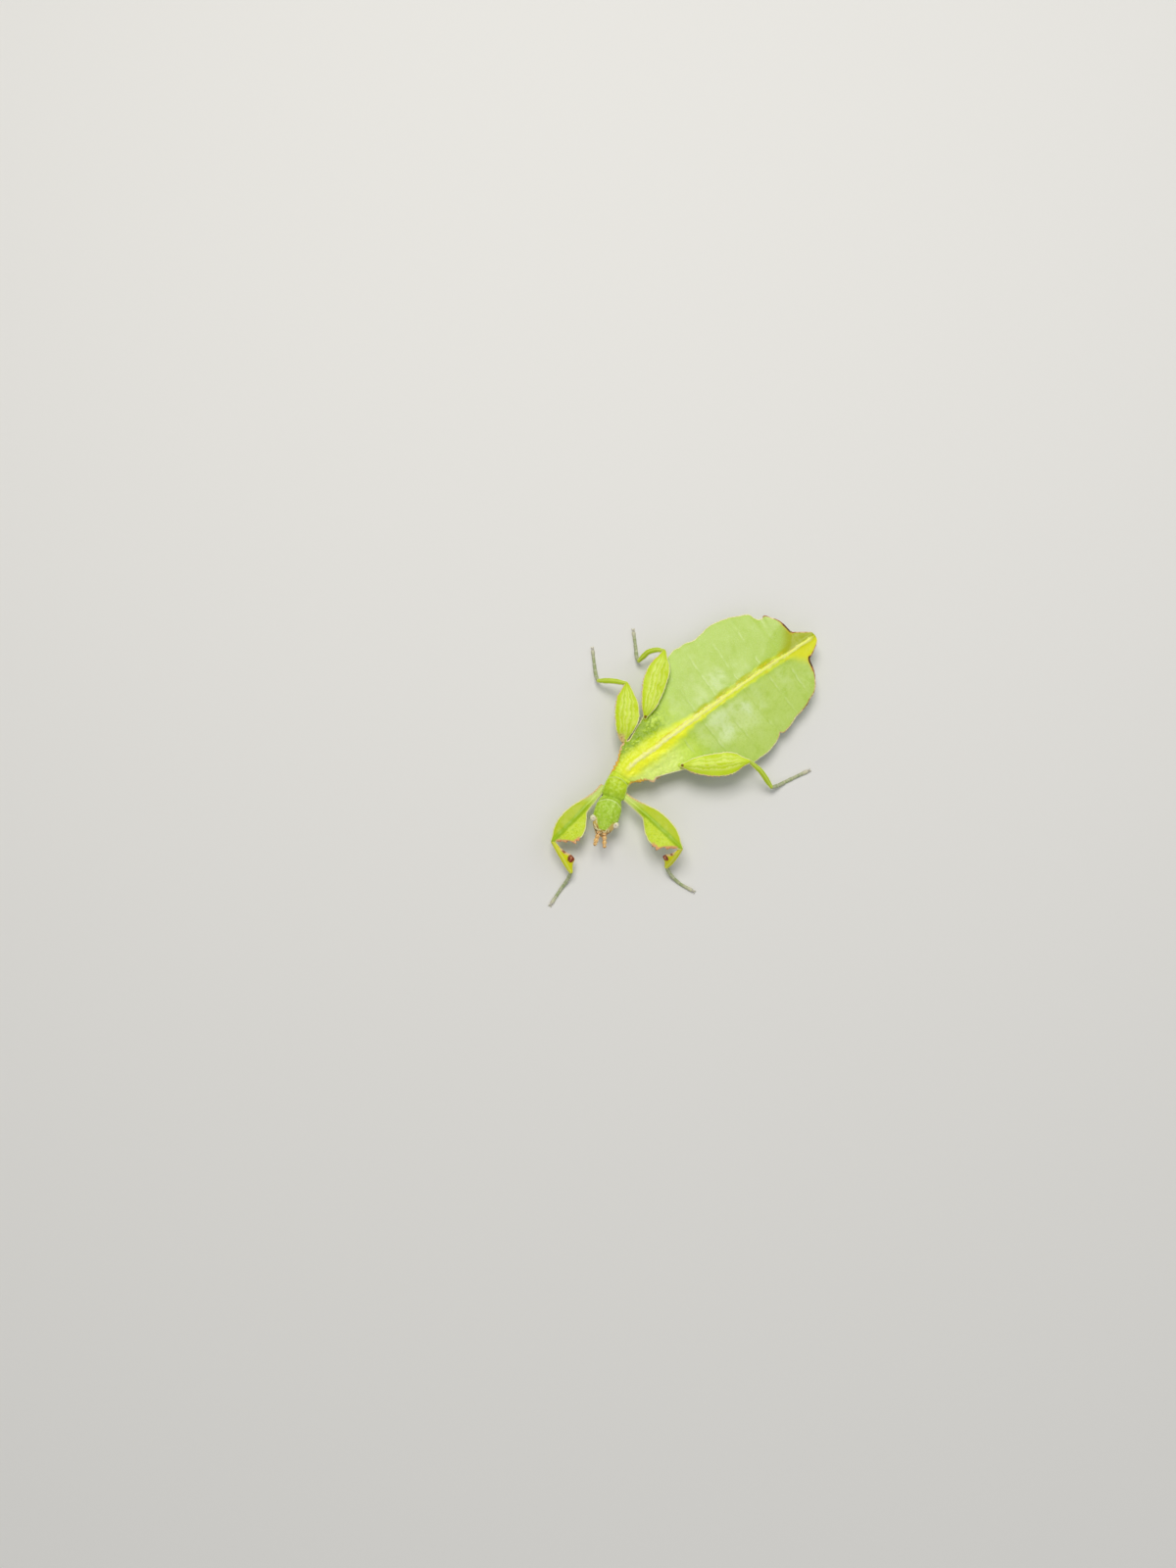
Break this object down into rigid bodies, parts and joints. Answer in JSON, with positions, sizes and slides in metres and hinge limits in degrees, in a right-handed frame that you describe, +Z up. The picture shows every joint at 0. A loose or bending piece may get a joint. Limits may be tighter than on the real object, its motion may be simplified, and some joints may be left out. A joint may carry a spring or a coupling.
{
  "type": "leaf insect",
  "caption": "Life-size leaf insect at rest: a flat, leaf-shaped green body with a raised midrib, lobed legs spread on the floor, small head with short feelers.",
  "frame": {"origin": "on the floor, under the middle of the whole box", "axes": "+Y along the back towards the tail, +X to the insect's left, +Z up from the floor"},
  "size_m": [0.0552, 0.0786, 0.0071],
  "materials": {
    "head_green": "granular cuticle, satin",
    "thorax_green": "granular cuticle, satin",
    "blade_green": "thin leafy cuticle, satin",
    "tail_yellow": "thin leafy cuticle, satin",
    "femur_lime": "thin leafy cuticle, satin",
    "fore_lime": "thin leafy cuticle, satin",
    "tibia_yellow": "smooth cuticle, satin",
    "tarsus_grey": "half clear cuticle, satin",
    "eye_cream": "smooth, glossy",
    "mouth_tan": "rough cuticle, matt"
  },
  "bodies": {
    "root": {"abdomen": "blade_green", "antenna_left": "mouth_tan", "antenna_right": "mouth_tan", "eye_left": "eye_cream", "eye_right": "eye_cream", "femur_fore_left": "fore_lime", "femur_fore_right": "fore_lime", "femur_hind_left": "femur_lime", "femur_hind_right": "femur_lime", "femur_mid_left": "femur_lime", "femur_mid_right": "femur_lime", "head": "head_green", "mesothorax": "thorax_green", "metathorax": "thorax_green", "mouthparts": "mouth_tan", "pronotum": "head_green", "tail": "tail_yellow", "tarsus_fore_left": "tarsus_grey", "tarsus_fore_right": "tarsus_grey", "tarsus_hind_left": "tarsus_grey", "tarsus_hind_right": "tarsus_grey", "tarsus_mid_left": "tarsus_grey", "tarsus_mid_right": "tarsus_grey", "tibia_fore_left": "tibia_yellow", "tibia_fore_right": "tibia_yellow", "tibia_hind_left": "femur_lime", "tibia_hind_right": "femur_lime", "tibia_mid_left": "femur_lime", "tibia_mid_right": "femur_lime"}
  },
  "joints": []
}
